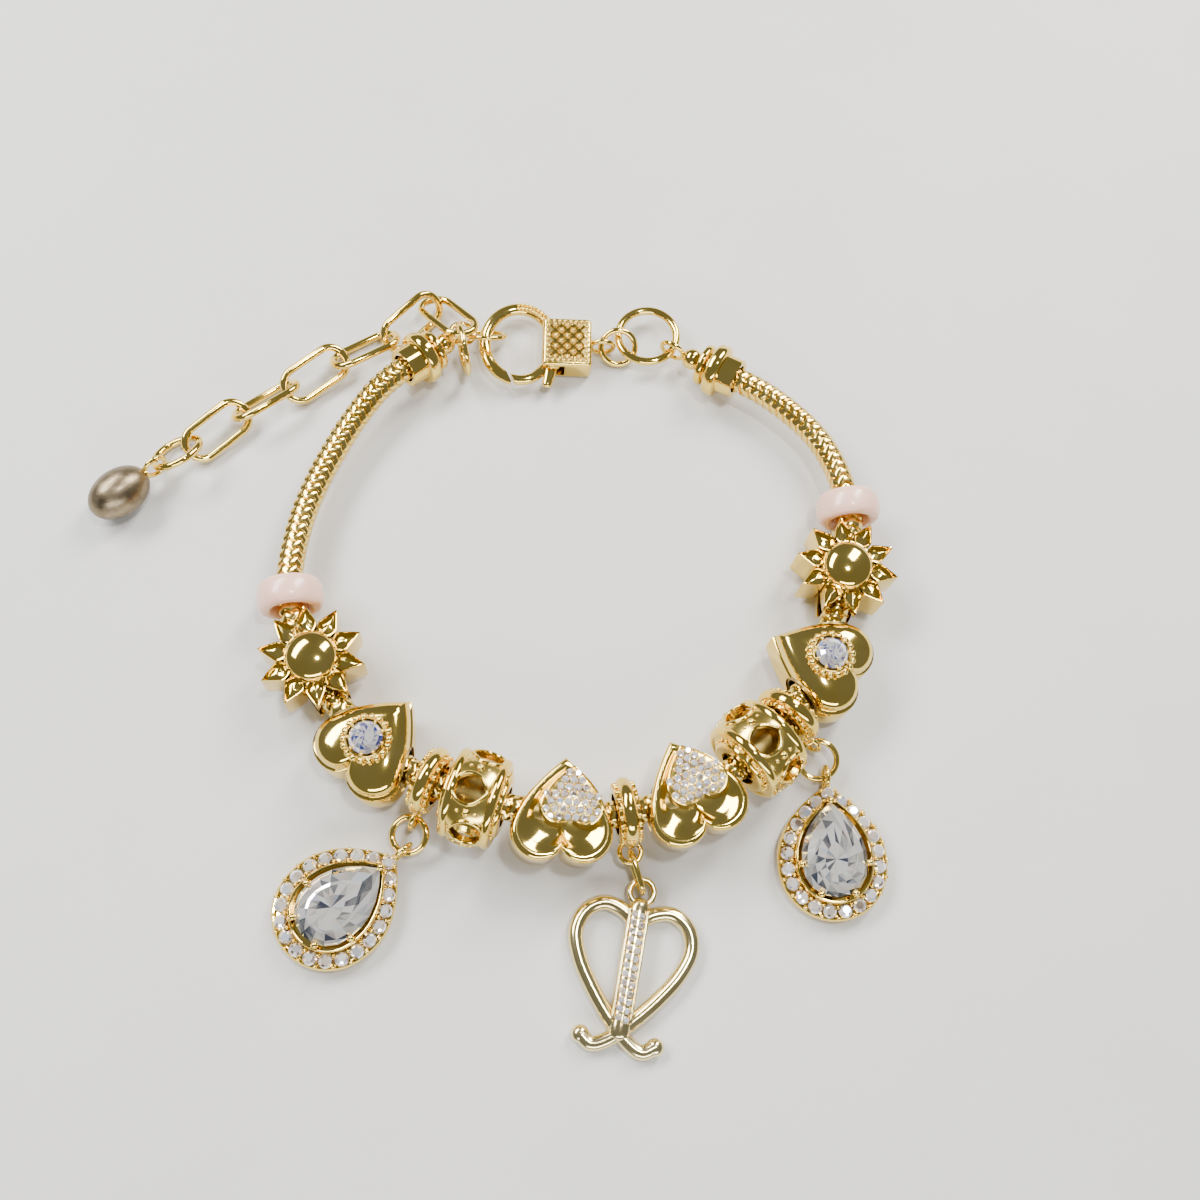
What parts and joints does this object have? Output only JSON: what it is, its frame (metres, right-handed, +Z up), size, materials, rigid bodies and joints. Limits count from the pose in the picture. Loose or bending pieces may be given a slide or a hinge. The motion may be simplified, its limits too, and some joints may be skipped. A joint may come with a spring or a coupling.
{
  "type": "charm bracelet",
  "caption": "Yellow-gold snake-chain charm bracelet with heart, flower and openwork charms, stone-set teardrop pendants, a claw clasp and an extender chain.",
  "frame": {"origin": "middle of the bounding box in X and Y, on the surface the bracelet lies on", "axes": "+Z up from the surface; +Y from the charms towards the clasp; +X to the right, seen from above"},
  "size_m": [0.093, 0.09, 0.0104],
  "materials": {
    "gold": "polished yellow gold",
    "brushed_gold": "brushed",
    "silicone": "smooth, pale pink",
    "crystal": "faceted, clear"
  },
  "bodies": {
    "bracelet": {"snake_chain": "gold", "left_end_cap": "gold", "right_end_cap": "gold", "left_sunflower": "gold", "right_sunflower": "gold", "left_stone_heart": "gold", "right_stone_heart": "gold", "left_openwork_bead": "gold", "right_openwork_bead": "gold", "left_pave_heart": "gold", "right_pave_heart": "gold", "left_dangle_spacer": "gold", "centre_dangle_spacer": "gold", "right_dangle_spacer": "gold", "left_pendant_ring": "gold", "centre_pendant_link": "gold", "right_pendant_ring": "gold", "left_teardrop_setting": "gold", "right_teardrop_setting": "gold", "scroll_pendant": "gold", "clasp_body": "gold", "clasp_tail_ring": "gold", "right_jump_ring": "gold", "claw_ring": "gold", "connector_ring": "gold", "extender_link_1": "gold", "extender_link_2": "gold", "extender_link_3": "gold", "extender_link_4": "gold", "extender_link_5": "gold", "extender_link_6": "gold", "extender_end_ring": "gold", "end_bead": "brushed_gold", "left_stopper": "silicone", "right_stopper": "silicone", "left_heart_stone": "crystal", "right_heart_stone": "crystal", "left_teardrop_stone": "crystal", "right_teardrop_stone": "crystal"},
    "clasp_lever": {"clasp_lever": "gold"}
  },
  "joints": [
    {"name": "clasp_gate_hinge", "type": "hinge", "parent": "bracelet", "child": "clasp_lever", "pos_m": [0.00654, 0.03649, 0.00175], "axis": [0, 0, 1], "range_deg": [-28, 0], "stiffness_Nm_per_rad": 0.002}
  ]
}
